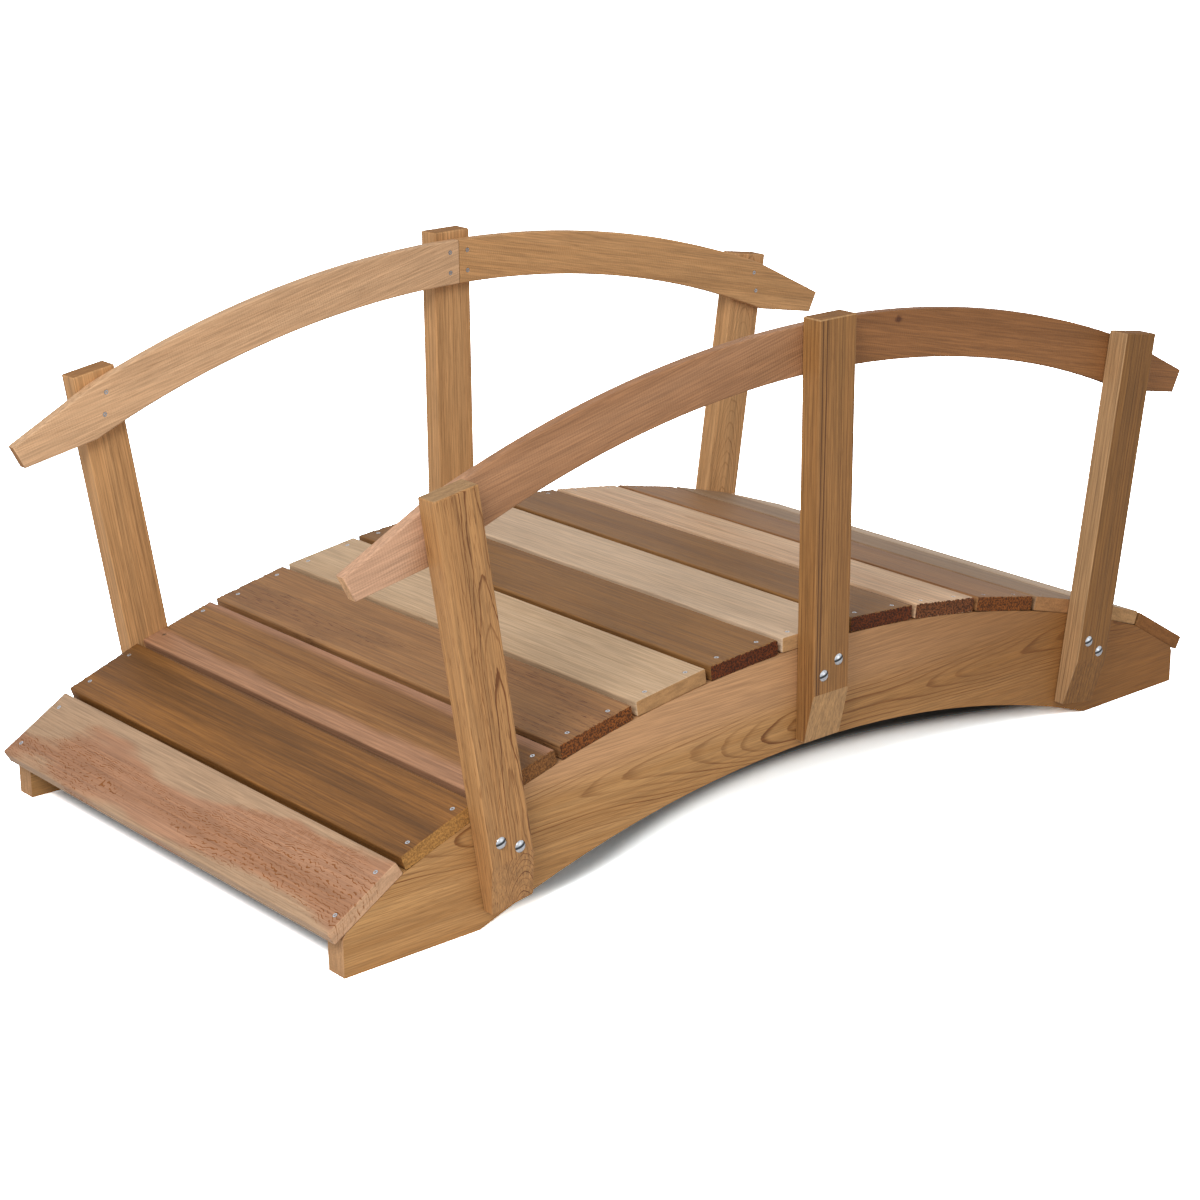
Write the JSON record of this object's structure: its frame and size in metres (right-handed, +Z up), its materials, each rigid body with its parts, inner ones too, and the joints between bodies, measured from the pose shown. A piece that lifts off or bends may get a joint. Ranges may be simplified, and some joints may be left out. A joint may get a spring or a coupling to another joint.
{
  "type": "wooden arched garden bridge",
  "caption": "Low arched timber garden footbridge with board deck, leaning posts and curved handrails.",
  "frame": {"origin": "on the ground under the middle of the bridge", "axes": "+X along the walkway from start to end, +Y to the left of someone walking that way, +Z up"},
  "size_m": [1.88, 0.9992, 0.812],
  "materials": {
    "stringer_wood": "planed cedar, unfinished",
    "deck_wood": "planed cedar, unfinished",
    "post_wood": "planed cedar, unfinished",
    "handrail_wood": "sawn cedar, unfinished",
    "bolt_steel": "bright zinc"
  },
  "bodies": {
    "root": {"stringer_left": "stringer_wood", "handrail_left_start": "handrail_wood", "handrail_left_end": "handrail_wood", "post_left_start": "post_wood", "bolts_left_start": "bolt_steel", "post_left_middle": "post_wood", "bolts_left_middle": "bolt_steel", "post_left_end": "post_wood", "bolts_left_end": "bolt_steel", "stringer_right": "stringer_wood", "handrail_right_start": "handrail_wood", "handrail_right_end": "handrail_wood", "post_right_start": "post_wood", "bolts_right_start": "bolt_steel", "post_right_middle": "post_wood", "bolts_right_middle": "bolt_steel", "post_right_end": "post_wood", "bolts_right_end": "bolt_steel", "deck_board_01": "deck_wood", "deck_board_02": "deck_wood", "deck_board_03": "deck_wood", "deck_board_04": "deck_wood", "deck_board_05": "deck_wood", "deck_board_06": "deck_wood", "deck_board_07": "deck_wood", "deck_board_08": "deck_wood", "deck_board_09": "deck_wood", "deck_board_10": "deck_wood", "deck_board_11": "deck_wood", "deck_board_12": "deck_wood", "deck_board_13": "deck_wood"}
  },
  "joints": []
}
